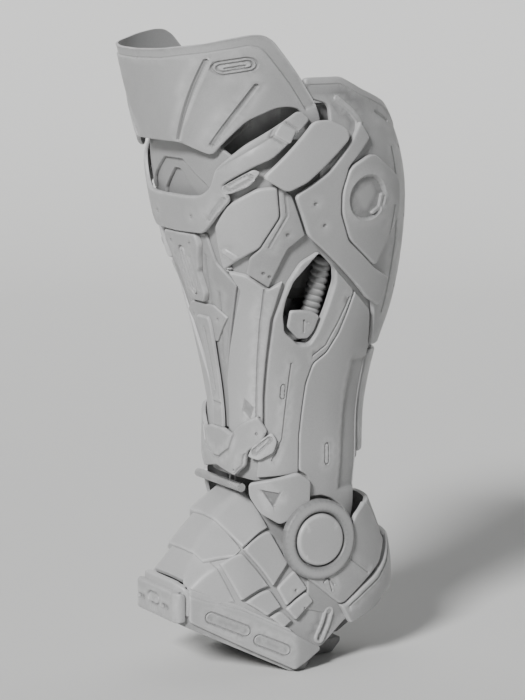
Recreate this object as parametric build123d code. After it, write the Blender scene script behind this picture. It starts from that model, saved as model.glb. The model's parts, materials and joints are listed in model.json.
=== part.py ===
"""Armoured below-knee prosthetic leg, in millimetres.

Frame: the origin is on the ground, straight under the ankle axle. +Z is up along the
shank, -Y points to the toes and +X to the wearer's outer side. The leg is symmetric
about the plane x = 0, so paired pieces are made once and mirrored.
"""
from build123d import *
import os
from math import cos, pi, sin

# ---- driving dimensions --------------------------------------------------------------
ANKLE_Z = 111.0        # height of the ankle axle
GAP = 0.8              # seam between neighbouring panels
FRONT_POWER = 3.0      # superellipse power of the flattened front half of the shank
REAR_POWER = 2.2       # the same of the rounder calf half
SECTION_POINTS = 20    # corners of one horizontal section

# height, centre y, depth forward, depth backward, half width
SHANK = [
    (105, 0, 58, 66, 57), (150, 0, 60, 66, 57), (175, 0, 62, 68, 59), (219, 0, 62, 70, 60),
    (263, 0, 69, 79, 67), (307, 1, 80, 93, 77), (355, -3, 92, 106, 87), (403, -6, 98, 110, 96),
    (440, -8, 100, 104, 98), (480, -10, 98, 90, 90), (515, -10, 98, 80, 86),
]
GUARD = [(415, -6, 111, 100, 89), (440, -6, 115, 100, 92), (523, -9, 134, 100, 97), (545, -9, 138, 100, 98)]
HEEL = [(20, 0, 90, 84, 58), (40, 0, 90, 92, 62), (60, 0, 90, 97, 64), (90, 0, 90, 95, 64),
        (111, 0, 90, 89, 64), (150, 0, 84, 72, 62)]

# structure inside
AXLE_R = 6.0
BUSH_R = 9.0
RUNNING_FIT = 0.05
PYLON_R = 15.0
PYLON_WALL = 2.0
PYLON_BOTTOM = 146.0
PYLON_TOP = 276.0
SOCKET_FLOOR = 312.0
SOCKET_WALL = 4.0
LINER_WALL = 4.0
LINER_GAP = 0.3          # slip fit of the liner in the socket
GUARD_PIVOT = (-22.0, 452.0)      # y, z of the knee guard's hinge
DAMPER_TOP = (64.0, 2.0, 352.0)
DAMPER_FOOT = (56.0, -8.0, 302.0)

WIDE = 200.0
os.makedirs("parts", exist_ok=True)


# ---- surfaces ------------------------------------------------------------------------
def section(station, offset):
    """Corners of one horizontal section: a superellipse, flatter in front than behind."""
    z, centre, front, back, half = station
    points = []
    for index in range(SECTION_POINTS):
        angle = 2 * pi * (index + 0.5) / SECTION_POINTS
        s, c = sin(angle), cos(angle)
        depth, power = (front, FRONT_POWER) if c > 0 else (back, REAR_POWER)
        size = abs(s / (half + offset)) ** power + abs(c / (depth + offset)) ** power
        radius = size ** (-1 / power)
        points.append((radius * s, centre - radius * c, z))
    return points


def poly_solid(points, faces):
    """A closed solid with flat faces; a face of four or more corners is cut into triangles."""
    triangles = []
    for face in faces:
        for k in range(1, len(face) - 1):
            corners = [Vector(*points[i]) for i in (face[0], face[k], face[k + 1])]
            triangles.append(Face(Wire.make_polygon(corners)))
    return Solid(Shell(triangles))


def stacked(rows):
    """A closed solid through equal rings of points."""
    count = len(rows[0])
    points = [p for row in rows for p in row]
    faces = [tuple(range(count)), tuple(range(len(points) - 1, len(points) - count - 1, -1))]
    for r in range(len(rows) - 1):
        for k in range(count):
            a, b = r * count + k, r * count + (k + 1) % count
            face = (a, a + count, b + count, b)
            faces.append(face if k < count // 2 else face[3:] + face[:3])
    return poly_solid(points, faces)


bodies = {}


def body_of(stations, offset):
    """The faceted solid inside a surface that is grown outward by offset."""
    key = (id(stations), offset)
    if key not in bodies:
        bodies[key] = stacked([section(s, offset) for s in stations])
    return bodies[key]


def skin(stations, inner, outer, outline):
    """The stretch of the surface's skin, between two offsets, inside a prism."""
    return (outline & body_of(stations, outer)) - body_of(stations, inner)


def inset(points, amount):
    """The outline moved inward by amount, edge by edge."""
    count = len(points)
    area = sum(points[k - 1][0] * points[k][1] - points[k][0] * points[k - 1][1] for k in range(count))
    turn = 1 if area > 0 else -1
    lines = []
    for k in range(count):
        (ax, ay), (bx, by) = points[k - 1], points[k]
        length = ((bx - ax) ** 2 + (by - ay) ** 2) ** 0.5
        nx, ny = -turn * (by - ay) / length, turn * (bx - ax) / length
        lines.append((nx, ny, nx * ax + ny * ay + amount))
    result = []
    for k in range(count):
        (a, b, c), (d, e, f) = lines[k], lines[(k + 1) % count]
        cross = a * e - b * d
        if abs(cross) < 1e-6:
            result.append((points[k][0] + a * amount, points[k][1] + b * amount))
        else:
            result.append(((c * e - b * f) / cross, (a * f - c * d) / cross))
    return result


def prism(points, plane, depth):
    """A closed outline pushed through the leg both ways; seams are left at its edge."""
    outline = make_face(Polyline(*inset(points, GAP / 2), close=True))
    return extrude(plane * outline, amount=depth, both=True)


SIDE = Plane(origin=(0, 0, 0), x_dir=(0, 1, 0), z_dir=(1, 0, 0))      # y, z outlines
FACE = Plane(origin=(0, 0, 0), x_dir=(1, 0, 0), z_dir=(0, -1, 0))     # x, z outlines
PLAN = Plane.XY                                                       # x, y outlines


def side(points):
    return prism(points, SIDE, WIDE)


def opening(points):
    """The same prism grown by half a seam, for cutting a neighbour."""
    outline = make_face(Polyline(*inset(points, -GAP / 2), close=True))
    return extrude(SIDE * outline, amount=WIDE, both=True)


def facing(points):
    """A front outline, kept to the front half."""
    return prism(points, FACE, WIDE) & half_space("front")


def half_space(name):
    centres = {"left": (WIDE, 0, 300), "right": (-WIDE, 0, 300), "front": (0, -WIDE, 300)}
    return Pos(*centres[name]) * Box(2 * WIDE, 2 * WIDE, 800)


def mirrored(points):
    """Both halves of a front outline given by its +X half, from top to bottom."""
    return points + [(-x, z) for x, z in reversed(points)]


def cylinder_x(radius, start, end, y, z):
    centre = Pos((start + end) / 2, y, z)
    return centre * Rot(0, 90, 0) * Cylinder(radius, abs(end - start))


def rod(start, end, radius):
    """A round bar between two points."""
    start, end = Vector(*start), Vector(*end)
    along = end - start
    plane = Plane(origin=start, z_dir=along.normalized())
    return extrude(plane * Circle(radius), amount=along.length)


def ribbon(rows, shift):
    """A bent plate: rows of outer points, each with an inner twin moved by shift."""
    count = len(rows[0])
    outer = [tuple(p) for row in rows for p in row]
    inner = [(p[0] + (-shift[0] if p[0] > 0 else shift[0] if p[0] < 0 else 0),
              p[1] + shift[1], p[2] + shift[2]) for p in outer]
    total = len(outer)
    faces = []
    for r in range(len(rows) - 1):
        for k in range(count - 1):
            a, b = r * count + k, r * count + k + 1
            c, d = a + count, b + count
            faces.append((a, b, d, c))
            faces.append((total + a, total + c, total + d, total + b))
    last = (len(rows) - 1) * count
    rim = [k for k in range(count)]
    rim += [r * count + count - 1 for r in range(1, len(rows))]
    rim += [last + k for k in range(count - 2, -1, -1)]
    rim += [r * count for r in range(len(rows) - 2, 0, -1)]
    for k, a in enumerate(rim):
        b = rim[(k + 1) % len(rim)]
        faces.append((a, total + a, total + b, b))
    return poly_solid(outer + inner, faces)


written = []


def save(name, shape):
    """Writes one node; a shape of several solids stays several solids."""
    solids = shape.solids() if hasattr(shape, "solids") else [shape]
    export_step(Compound(label=name, children=list(solids)), f"parts/{name}.step")
    written.append(name)


def save_both(name, shape):
    """Keeps the +X piece and its mirror image as two solids of one node."""
    piece = shape & half_space("left")
    save(name, Compound(children=list(piece.solids()) + list(mirror(piece, about=Plane.YZ).solids())))


def save_pair(name, shape):
    """Keeps the +X piece and its mirror image."""
    save(name + "_left", shape & half_space("left"))
    save(name + "_right", mirror(shape & half_space("left"), about=Plane.YZ))


# ---- outlines on the shank, seen from the side (y, z) -----------------------------------
YOKE = [(-130, 405), (-108, 405), (-104, 413), (-100, 429), (-81, 447), (-41, 471), (-36, 458),
        (-61, 434), (-76, 421), (-90, 412), (-93, 399), (-100, 378), (-104, 372), (-130, 372)]
SHOULDER = [(-70, 421), (-50, 408), (-33, 416), (6, 449), (3, 458), (-13, 465), (-27, 464)]
CHEEK = [(-97, 378), (-88, 396), (-72, 411), (-56, 413), (-52, 387), (-65, 361), (-84, 341), (-93, 352)]
STRAP = [(-56, 413), (-43, 405), (-28, 371), (-42, 360), (-54, 327), (-72, 339), (-72, 353), (-65, 361),
         (-52, 387)]
BRACE = [(-43, 405), (-14, 423), (5, 444), (19, 464), (28, 448), (6, 426), (0, 407), (1, 389),
         (11, 366), (41, 341), (62, 330), (50, 307), (35, 315), (-28, 371)]
COVER = [(6, 426), (0, 407), (1, 389), (11, 366), (41, 341), (66, 386), (66, 414), (30, 440)]
CAVITY = [(-16, 355), (-31, 338), (-38, 319), (-40, 304), (-37, 288), (-24, 279), (-12, 279),
          (-7, 290), (0, 310), (4, 334)]
SIDE_PANEL = [(-39, 330), (-46, 300), (-45, 234), (-44, 205), (-50, 184), (-50, 164), (-17, 167), (-17, 199),
              (-13, 244), (-8, 261), (4, 270), (13, 285), (25, 322), (-14, 357), (-30, 348)]
REAR_PANEL = [(25, 322), (13, 285), (4, 270), (-8, 261), (-13, 244), (-17, 199), (-17, 170), (-8, 164),
              (-8, 149), (14, 145), (34, 122), (42, 133), (46, 190), (48, 240), (52, 268), (47, 303)]
CALF = [(-36, 501), (6, 501), (30, 490), (60, 479), (84, 460), (130, 446), (130, 270), (56, 270), (46, 311),
        (-12, 372), (-20, 430), (-8, 438), (-8, 478), (-30, 484)]
UPPER_LATCH = [(-96, 407), (-92, 418), (-77, 428), (-71, 424), (-77, 414), (-91, 405)]
BUTTON = [(-52, 464), (-41, 456), (-48, 446), (-60, 454)]
LOWER_LATCH = [(-60, 186), (-54, 184), (-40, 202), (-40, 208), (-45, 206), (-58, 192)]
ACHILLES = [(54, 267), (130, 267), (130, 176), (50, 176), (50, 240)]
TRIANGLE = [(-55, 162), (-18, 169), (-9, 162), (-10, 149), (-36, 130), (-53, 147)]
SUBSTRATE = [(-130, 174), (130, 174), (130, 264), (54, 264), (44, 306), (-18, 366), (-46, 394), (-130, 394)]

# ---- outlines on the shank, seen from the front (+X half, x, z, top to bottom) ------------
PANEL = [(50, 350), (74, 340), (78, 328), (69, 292), (57, 234), (53, 206), (38, 187), (13, 203), (17, 244),
         (56, 322)]
CORE = mirrored([(38, 372), (42, 346), (55, 330), (16, 245), (12, 203)])
DIAMOND = mirrored([(20, 309), (38, 300), (13, 276)])
KEEL = mirrored([(11, 300), (8, 226), (10, 202)])
CLEVIS = mirrored([(30, 371), (22, 332), (12, 312)])
CUFF = mirrored([(12, 201), (24, 201), (28, 210), (54, 206), (40, 185), (40, 174), (28, 165)])
STEPS = [mirrored([(58, 446), (50, 412), (32, 396)]), mirrored([(46, 436), (40, 412), (26, 398)])]


# ---- shells and panels of the shank ----------------------------------------------------
def shank_shells():
    cavity = side(CAVITY)
    save("shin_shell", skin(SHANK, -9, -5.5, side(SUBSTRATE) - cavity))
    save("calf_shell", skin(SHANK, -4, 0, side(CALF)))
    save("achilles_guard", skin(SHANK, -4, 0, side(ACHILLES)))
    save_both("rear_panels", skin(SHANK, -5, -1, side(REAR_PANEL)))
    outboard = Pos(136, 0, 260) * Box(200, 400, 260)
    save_both("side_panels", skin(SHANK, -5, -1, (side(SIDE_PANEL) & outboard) - cavity))
    inboard = side([(-130, 345), (-43, 345), (-49, 300), (-48, 234), (-47, 205), (-53, 184), (-53, 160),
                    (-130, 160)])
    shin_cut = (facing(PANEL) & inboard) - opening(CHEEK) - opening(STRAP)
    save_both("shin_panels", skin(SHANK, -5, -1, shin_cut))
    cheek = side(CHEEK) & (Pos(144, 0, 380) * Box(200, 400, 200))
    cheek_hole = opening(CHEEK) & (Pos(143, 0, 380) * Box(200, 400, 200))
    cheek_holes = cheek_hole + mirror(cheek_hole, about=Plane.YZ)
    save("shin_core", skin(SHANK, -5, -3, facing(CORE) - cheek_holes))
    save("diamond_plate", skin(SHANK, -2.5, -1, facing(DIAMOND)))
    save("shin_keel", skin(SHANK, -0.5, 2.5, facing(KEEL)))
    save("shin_clevis", skin(SHANK, -2.5, 2.5, facing(CLEVIS) - cheek_holes))
    save("guard_yoke", skin(SHANK, 0.5, 4, side(YOKE) - opening(UPPER_LATCH) - opening(BUTTON)))
    save_both("shoulder_plates", skin(SHANK, 4.5, 8, side(SHOULDER) & half_space("left")))
    save_both("cheek_plates", skin(SHANK, -5, -0.5, cheek))
    save_both("strap_plates", skin(SHANK, -5, -0.5, side(STRAP) & half_space("left")))
    disc_y, disc_z = 26.0, 401.0
    disc_hole = cylinder_x(19.5, 60, 130, disc_y, disc_z)
    save_both("side_braces", skin(SHANK, 0.5, 4, side(BRACE) & half_space("left")))
    save_both("joint_covers", skin(SHANK, 0.5, 4, (side(COVER) & half_space("left")) - disc_hole))
    save_both("joint_discs", skin(SHANK, 0.5, 2.5, cylinder_x(18.7, 60, 130, disc_y, disc_z)))
    save("ankle_cuff", skin(SHANK, 0.5, 4, facing(CUFF) - opening(LOWER_LATCH)))
    save_both("ankle_triangles", skin(SHANK, 0.5, 4, side(TRIANGLE) & half_space("left")))
    save("ankle_bar", rod((-40, -62, 157), (40, -62, 157), 3.6))
    cut = facing(mirrored([(44, 470), (38, 414), (24, 400)]))
    steps = [skin(SHANK, -13, -9.5, facing(STEPS[1])), skin(SHANK, -9, -5.5, facing(STEPS[0]) - cut)]
    save("knee_steps", Compound(children=steps))


# ---- knee guard --------------------------------------------------------------------------
GUARD_OUTLINE = [(-160, 523), (-143, 523), (-114, 529), (-80, 536), (-66, 535), (-58, 529), (-36, 501),
                 (-18, 476), (-14, 458), (-22, 446), (-32, 452), (-34, 474), (-57, 476), (-80, 465),
                 (-97, 446), (-103, 435), (-119, 445), (-160, 445)]


def knee_guard():
    y, z = GUARD_PIVOT
    shell = skin(GUARD, -4, 0, side(GUARD_OUTLINE))
    save("knee_guard", shell - cylinder_x(4.05, -120, 120, y, z))
    pins = [cylinder_x(4.0, sign * 84, sign * 96, y, z) for sign in (1, -1)]
    save("guard_pivots", Compound(children=pins))


# ---- controls on the yoke and cuff ---------------------------------------------------------
def controls():
    half = half_space("left")
    save_pair("release_button", skin(SHANK, 2.5, 6, side(BUTTON) & half))
    save_pair("upper_latch", skin(SHANK, 0.5, 4, side(UPPER_LATCH) & half))
    save_pair("lower_latch", skin(SHANK, 0.5, 4, side(LOWER_LATCH) & half))


# ---- structure inside ------------------------------------------------------------------------
SOCKET = [(312, 0, 30, 30, 30), (322, 0, 42, 44, 40), (345, -1, 54, 58, 48), (390, -4, 72, 78, 68),
          (440, -6, 78, 78, 76), (478, -6, 82, 66, 80)]
SOCKET_MOUTH = (520, -6, 84, 64, 82)


def raised_floor(lift):
    """The socket's stations with the lowest one lifted, for what lies inside it."""
    return [(z + (lift if z == SOCKET_FLOOR else 0), c, f, b, w) for z, c, f, b, w in SOCKET]


def structure():
    outer = body_of(SOCKET, 0)
    hollow = raised_floor(SOCKET_WALL) + [SOCKET_MOUTH]
    cup = outer - body_of(hollow, -SOCKET_WALL)
    trim = side([(-130, 300), (130, 300), (130, 452), (60, 462), (10, 478), (-60, 474), (-80, 440),
                 (-130, 436)])
    save("socket", cup & trim)
    liner_outer = raised_floor(SOCKET_WALL + LINER_GAP)
    liner_inner = raised_floor(SOCKET_WALL + LINER_WALL) + [SOCKET_MOUTH]
    liner = body_of(liner_outer, -SOCKET_WALL - LINER_GAP) - body_of(liner_inner, -SOCKET_WALL - LINER_WALL)
    trim = side([(-130, 300), (130, 300), (130, 460), (60, 470), (10, 486), (-60, 482), (-80, 448),
                 (-130, 444)])
    save("socket_liner", liner & trim)

    lock_height = SOCKET_FLOOR - 0.3 - 294
    save("shuttle_lock", Pos(0, 0, 294 + lock_height / 2) * Cylinder(28, lock_height))
    pyramid = Pos(0, 0, 292) * Cylinder(24, 4)
    pyramid = pyramid + Solid.make_cone(12, 9, 12).moved(Location((0, 0, 278)))
    save("pyramid_adapter", pyramid)
    clamp = Pos(0, 0, 276) * Cylinder(21, 28)
    clamp = clamp - Pos(0, 0, 268) * Cylinder(PYLON_R, 20)
    clamp = clamp - Pos(0, 0, 284) * Cylinder(13, 14)
    save("tube_clamp", clamp)
    length = PYLON_TOP - PYLON_BOTTOM
    tube = Cylinder(PYLON_R, length) - Cylinder(PYLON_R - PYLON_WALL, length)
    save("pylon_tube", Pos(0, 0, (PYLON_TOP + PYLON_BOTTOM) / 2) * tube)

    block = Pos(0, 0, 149) * Cylinder(21, 34)
    block = block + Pos(0, 0, 122) * Box(27, 30, 50) + cylinder_x(15, -13.5, 13.5, 0, ANKLE_Z)
    block = block & Pos(0, 0, 131) * Box(60, 60, 70)
    block = block - Pos(0, 0, 160) * Cylinder(PYLON_R, 28)
    block = block - cylinder_x(BUSH_R, -20, 20, 0, ANKLE_Z)
    save("ankle_block", block)
    bush = cylinder_x(BUSH_R, -13.5, 13.5, 0, ANKLE_Z)
    save("ankle_bush", bush - cylinder_x(AXLE_R + RUNNING_FIT, -20, 20, 0, ANKLE_Z))

    lower = body_of(SHANK, -9.3) & Pos(0, 0, 205) * Box(WIDE, WIDE, 6)
    lower = lower - Pos(0, 0, 205) * Cylinder(PYLON_R, 10)
    for angle in range(4):
        lower = lower - Rot(0, 0, 45 + 90 * angle) * Pos(34, 0, 205) * Cylinder(11, 10)
    for sign in (1, -1):
        lower = lower - Pos(sign * 42, -27, 205) * Box(14, 18, 10)
    save("lower_frame", lower)
    upper = body_of(SHANK, -9.3) & Pos(0, 0, 372) * Box(2 * WIDE, 2 * WIDE, 6)
    upper = upper - body_of(SOCKET, 0)
    save("upper_frame", upper & side([(-60, 300), (40, 300), (40, 400), (-60, 400)]))


# ---- side dampers ------------------------------------------------------------------------------
def dampers():
    """Each side: a fixed eye, a bellows over the plunger rod, and a push rod down to the ankle."""
    top, foot = Vector(*DAMPER_TOP), Vector(*DAMPER_FOOT)
    along = (foot - top).normalized()
    save_both("damper_heads", Pos(*(top - along * 4.5)) * Box(14, 14, 8))
    bellows = rod(top + along * 2.0, foot - along * 0.6, 7.6) - rod(top - along, foot + along, 5.0)
    save_pair("damper_bellows", bellows)
    plunger = Pos(51.2, -17.5, 291) * Box(7.4, 25, 20) + Pos(46, -23, 284) * Box(16, 12, 8)
    plunger = plunger + rod((42, -23, 284), (42, -30, 128), 3.5)
    plunger = plunger - rod(foot - along * 12, foot + along * 0.6, 10)
    plunger = plunger + rod(foot + along * 6, top + along * 10, 4)
    save_pair("damper_plunger", plunger)


# ---- foot ----------------------------------------------------------------------------------------
# y, then x and z of the instep edge, the flank edge, the side's top and the side's bottom
LAST = [
    (-111, 28, 74, 33, 70, 36, 64, 35, 56), (-97, 22, 92, 37, 80, 42, 62, 41, 49),
    (-77, 16, 117, 43, 93, 50, 58, 49, 39), (-58, 16, 136, 44, 106, 57, 52, 56, 29),
    (-38, 20, 142, 46, 110, 59, 46, 58, 19), (-18, 20, 142, 47, 112, 60, 42, 59, 14),
]


def last_body(inset):
    """The forefoot block under the plates; inset makes the hollow inside it."""
    rows = []
    for y, xi, zi, xf, zf, xs, zs, xb, zb in LAST:
        half = [(xi, zi - inset), (xf - inset, zf - inset * 0.6), (xs - inset, zs), (xb - inset, zb + inset)]
        loop = half + [(-x, z) for x, z in reversed(half)]
        rows.append([(x, y, z) for x, z in loop])
    if inset:
        rows[0] = [(x, y + inset, z) for x, y, z in rows[0]]
        rows[-1] = [(x, y + 20, z) for x, y, z in rows[-1]]
    return stacked(rows)


def lame(back, front, thickness):
    """An instep plate: a flat crown and two sloping flanks, from +X half points."""
    rows = [half[::-1] + [(-x, y, z) for x, y, z in half] for half in (back, front)]
    return ribbon(rows, (0, 0.5 * thickness, -0.87 * thickness))


SOLE_SIDE = [(-112.6, 42.0), (-26, -0.4), (38, -0.4), (47, 8), (47, 12), (38, 12), (-22, 12), (-112.6, 55)]
SOLE_PLAN = [(36, -119), (36, -112), (60, -26), (60, -12), (42, 2), (22, 16), (16, 47)]
SCALES = [
    [(49, -66, 105), (46, -42, 124), (57, -27, 91), (54, -41, 74)],
    [(43, -86, 95), (48, -66, 104), (54, -43, 73), (52, -69, 64)],
    [(54, -66, 62), (56, -43, 71), (61, -34, 55), (59, -47, 51)],
    [(57, -39, 73), (59, -21, 84), (62, -12, 68), (62, -31, 56)],
    [(62, -32, 53), (63, -15, 62), (64, -10, 51), (63, -24, 41)],
]


def foot():
    plates = {
        "instep_plate_1": ([(19, -48, 154), (44, -38, 131)], [(19, -79, 131), (48, -67, 107)], 4),
        "instep_plate_2": ([(17.5, -72, 130), (44, -66, 105)], [(19, -99, 105), (44, -78, 95)], 3.5),
        "instep_plate_3": ([(19, -92, 104), (42, -77, 89)], [(30, -112, 81), (38, -110, 73)], 3.5),
    }
    covers = []
    for name, (back, front, thickness) in plates.items():
        plate = lame(back, front, thickness)
        for cover in covers:
            plate = plate - cover
        save(name, plate)
        covers.append(plate)
    scales = []
    for a, b, c, d in SCALES:
        scale = ribbon([[a, b], [d, c]], (3, 0, 0))
        for cover in covers + scales:
            scale = scale - cover
        scales.append(scale)
    save_both("side_scales", Compound(children=[s for scale in scales for s in scale.solids()]))

    plan = SOLE_PLAN + [(-x, y) for x, y in reversed(SOLE_PLAN)]
    sole = side(SOLE_SIDE) & prism(plan, PLAN, WIDE)
    strip_top = [(41, -112, 71), (68, -24, 38), (64, 2, 34)]
    strip_foot = [(41, -112, 46), (68, -24, 1), (64, 2, 18)]
    strip = ribbon([strip_top, strip_foot], (5, 0, 0))
    strips = [strip, mirror(strip, about=Plane.YZ)]
    bumper = Pos(0, -118.5, 59.5) * Box(79, 11, 27)
    bumper = chamfer(bumper.edges().filter_by(Axis.Z).sort_by(Axis.Y)[:2], 3)
    save("sole_platform", sole - strips[0] - strips[1])
    save("side_bumpers", Compound(children=strips))
    save("toe_bumper", bumper)
    keel = [(-104, 60), (-40, 24), (-24, 18), (40, 18), (74, 40), (72, 44), (38, 24), (-22, 24), (-38, 30),
            (-102, 66)]
    keel = side(keel) & Pos(0, 0, 40) * Box(44, 400, 100)
    save("keel_spring", keel)

    shell = last_body(0) - last_body(4) - Pos(0, 12, 130) * Box(110, 104, 76)
    mates = covers + scales + [mirror(s, about=Plane.YZ) for s in scales] + strips + [bumper, sole, keel]
    for mate in mates:
        shell = shell - mate
    save("foot_shell", Compound(children=[s for s in shell.solids() if s.volume > 2000]))

    cup_outline = [(-12, 48), (20, 40), (30, 34), (110, 34), (110, 112), (72, 138), (50, 132), (34, 110),
                   (16, 138), (-12, 138)]
    outer_bores = cylinder_x(AXLE_R, -80, 80, 0, ANKLE_Z)
    save("heel_cup", skin(HEEL, -8.5, -4.5, side(cup_outline)) - outer_bores)
    plate = [(-7, 87), (38, 52), (72, 102), (76, 122), (66, 146), (54, 140), (38, 112), (24, 112), (-30, 112)]
    stirrup = skin(HEEL, -4, 0, side(plate) & half_space("left"))
    stirrup = stirrup + skin(HEEL, -4, 3, cylinder_x(34.5, 40, 90, 0, ANKLE_Z))
    save_both("ankle_stirrups", stirrup - cylinder_x(23.5, 40, 90, 0, ANKLE_Z))
    disc = skin(HEEL, -4, 3, cylinder_x(22.7, 40, 90, 0, ANKLE_Z))
    save_both("hub_discs", disc - cylinder_x(AXLE_R, -62, 62, 0, ANKLE_Z))
    cap = [(20, 52), (26, 35), (47, 33), (70, 44), (120, 50), (120, 108), (76, 104), (39, 50)]
    above_cap = side([(-7, 87), (38.5, 51.5), (76, 103), (76, 130), (-7, 130)])
    save("heel_cap", skin(HEEL, -4, 1, side(cap) - above_cap))

    base = Pos(0, 0, 57) * Box(48, 40, 66) + Pos(0, 0, 100) * Box(48, 32, 30)
    base = base + cylinder_x(16, -24, 24, 0, ANKLE_Z)
    base = base - Pos(0, 0, 126) * Box(28.6, 60, 70)
    save("ankle_base", base - outer_bores)
    save("ankle_axle", cylinder_x(AXLE_R, -60, 60, 0, ANKLE_Z))


def screws():
    """Screw heads standing on the front of the yoke."""
    heads = []
    for sign in (1, -1):
        column = Pos(sign * 31, -150, 386) * Rot(90, 0, 0) * Cylinder(2.2, 300)
        heads.append(skin(SHANK, 4, 4.5, column & half_space("front")))
    save("yoke_screws", Compound(children=[s for h in heads for s in h.solids()]))


shank_shells()
knee_guard()
controls()
structure()
dampers()
foot()
screws()
print(len(written), "nodes")
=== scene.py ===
"""Looks of the armoured below-knee prosthetic leg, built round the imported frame.

Panels are cut from two smooth master surfaces (shank and heel), the flared knee guard's
surface and the forefoot's. Lengths in the helpers are millimetres; meshes are in metres.
"""
import json
from math import atan2, cos, pi, radians, sin

import bpy
import numpy as np
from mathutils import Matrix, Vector
from mathutils.geometry import delaunay_2d_cdt


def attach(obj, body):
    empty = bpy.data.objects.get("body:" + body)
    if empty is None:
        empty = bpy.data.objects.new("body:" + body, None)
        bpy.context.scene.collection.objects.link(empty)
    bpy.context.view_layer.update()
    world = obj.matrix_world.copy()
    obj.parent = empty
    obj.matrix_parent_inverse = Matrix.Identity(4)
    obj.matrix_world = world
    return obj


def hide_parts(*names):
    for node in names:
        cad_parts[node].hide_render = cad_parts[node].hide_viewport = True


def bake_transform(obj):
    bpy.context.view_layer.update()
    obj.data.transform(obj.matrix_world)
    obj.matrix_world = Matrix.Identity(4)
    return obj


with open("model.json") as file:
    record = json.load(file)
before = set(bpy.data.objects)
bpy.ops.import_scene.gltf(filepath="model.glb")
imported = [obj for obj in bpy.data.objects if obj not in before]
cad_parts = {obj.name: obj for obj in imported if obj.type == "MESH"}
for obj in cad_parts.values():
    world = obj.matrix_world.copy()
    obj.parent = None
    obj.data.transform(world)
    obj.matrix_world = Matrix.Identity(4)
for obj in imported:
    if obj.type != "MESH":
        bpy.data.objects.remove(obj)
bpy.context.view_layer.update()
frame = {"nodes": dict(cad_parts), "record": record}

MM = 0.001
ANKLE_Z = 111.0
ANGLE_SCALE = 80.0     # millimetres of panel outline for one radian round the leg
BACK = pi * ANGLE_SCALE    # where a round surface's outline reaches the middle of the back
FRONT_POWER, REAR_POWER = 3.0, 2.2
HUB_RADIUS = 34.6          # the ring round the ankle
DAMPER_TOP, DAMPER_FOOT = (66.0, 2.0, 352.0), (58.0, -8.0, 302.0)
CAMERA_PLACE = (2.1134, -1.1446, 0.6102)
CAMERA_AZIMUTH, CAMERA_DROP, CAMERA_ANGLE = radians(62), radians(8.2), radians(14.0025)

# height, centre y, depth forward, depth backward, half width
SHANK = np.array([
    (105, 0, 58, 66, 57), (150, 0, 60, 66, 57), (175, 0, 62, 68, 59), (219, 0, 62, 70, 60),
    (263, 0, 69, 79, 67), (307, 1, 80, 93, 77), (355, -3, 92, 105, 87), (403, -6, 98, 108.5, 96),
    (440, -8, 100, 103, 98), (480, -10, 98, 90, 90), (515, -10, 98, 80, 86)], float)
GUARD = np.array([(415, -6, 111, 100, 89), (440, -6, 115, 100, 92), (523, -9, 132.5, 100, 97),
                  (545, -9, 133, 100, 98)], float)
HEEL = np.array([(20, 0, 90, 84, 58), (40, 0, 90, 92, 62), (60, 0, 90, 97, 64), (90, 0, 90, 95, 64),
                 (111, 0, 90, 89, 64), (150, 0, 84, 72, 62)], float)
# y, then x and z of the crown's edge, of the flank's edge and of the side's foot
FOREFOOT = np.array([
    (-114, 29, 79, 37, 71, 41, 60), (-99, 21, 101, 40, 85, 47, 58), (-79, 19, 127, 46, 97, 53, 52),
    (-66, 19, 139, 49, 107, 57, 46), (-45, 19, 154, 50, 121, 61, 38), (-25, 20, 160, 55, 103, 63, 34),
    (-5, 20, 160, 59, 84, 63, 16), (8, 20, 160, 60, 72, 62, 16), (20, 20, 160, 60, 66, 61, 28),
    (34, 20, 160, 58, 66, 59, 38)], float)


# ---- master surfaces -------------------------------------------------------------------------
def smooth(table, at):
    """The table's row at a place between its stations, along cubic curves."""
    keys = table[:, 0]
    k = int(np.clip(np.searchsorted(keys, at) - 1, 0, len(keys) - 2))
    before, after = max(k - 1, 0), min(k + 2, len(keys) - 1)
    span = keys[k + 1] - keys[k]
    t = min(max((at - keys[k]) / span, 0.0), 1.0)
    start, end = table[k, 1:], table[k + 1, 1:]
    slope_a = (end - table[before, 1:]) / (keys[k + 1] - keys[before]) * span
    slope_b = (table[after, 1:] - start) / (keys[after] - keys[k]) * span
    return ((2 * t**3 - 3 * t**2 + 1) * start + (t**3 - 2 * t**2 + t) * slope_a
            + (3 * t**2 - 2 * t**3) * end + (t**3 - t**2) * slope_b)


def round_surface(table):
    """A function of (a, z) for a surface round the leg; a runs from the front, +X side first."""
    def place(a, z):
        centre, front, back, half = smooth(table, z)
        s, c = sin(a / ANGLE_SCALE), cos(a / ANGLE_SCALE)
        depth, power = (front, FRONT_POWER) if c > 0 else (back, REAR_POWER)
        radius = (abs(s / half) ** power + abs(c / depth) ** power) ** (-1 / power)
        return np.array((radius * s, centre - radius * c, z))
    place.table = table
    return place


def forefoot_surface(u, y):
    """A function of (u, y): u runs across the foot from its crown, down the flank and side."""
    xc, zc, xf, zf, xs, zs = smooth(FOREFOOT, y)
    flank, wall = np.hypot(xf - xc, zc - zf), np.hypot(xs - xf, zf - zs)
    edges = np.array([(0, zc + 0.8), (xc, zc), (xf, zf), (xs, zs)])
    along = np.array([0, xc, xc + flank, xc + flank + wall])
    total = np.zeros(2)
    for shift in (-1.2, -0.6, 0.0, 0.6, 1.2):      # a slightly rounded crease
        total += [np.interp(abs(u) + shift, along, edges[:, i]) for i in (0, 1)]
    x, z = total / 5
    return np.array((x if u >= 0 else -x, y, z))


shank_skin, guard_skin, heel_skin = round_surface(SHANK), round_surface(GUARD), round_surface(HEEL)


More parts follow.
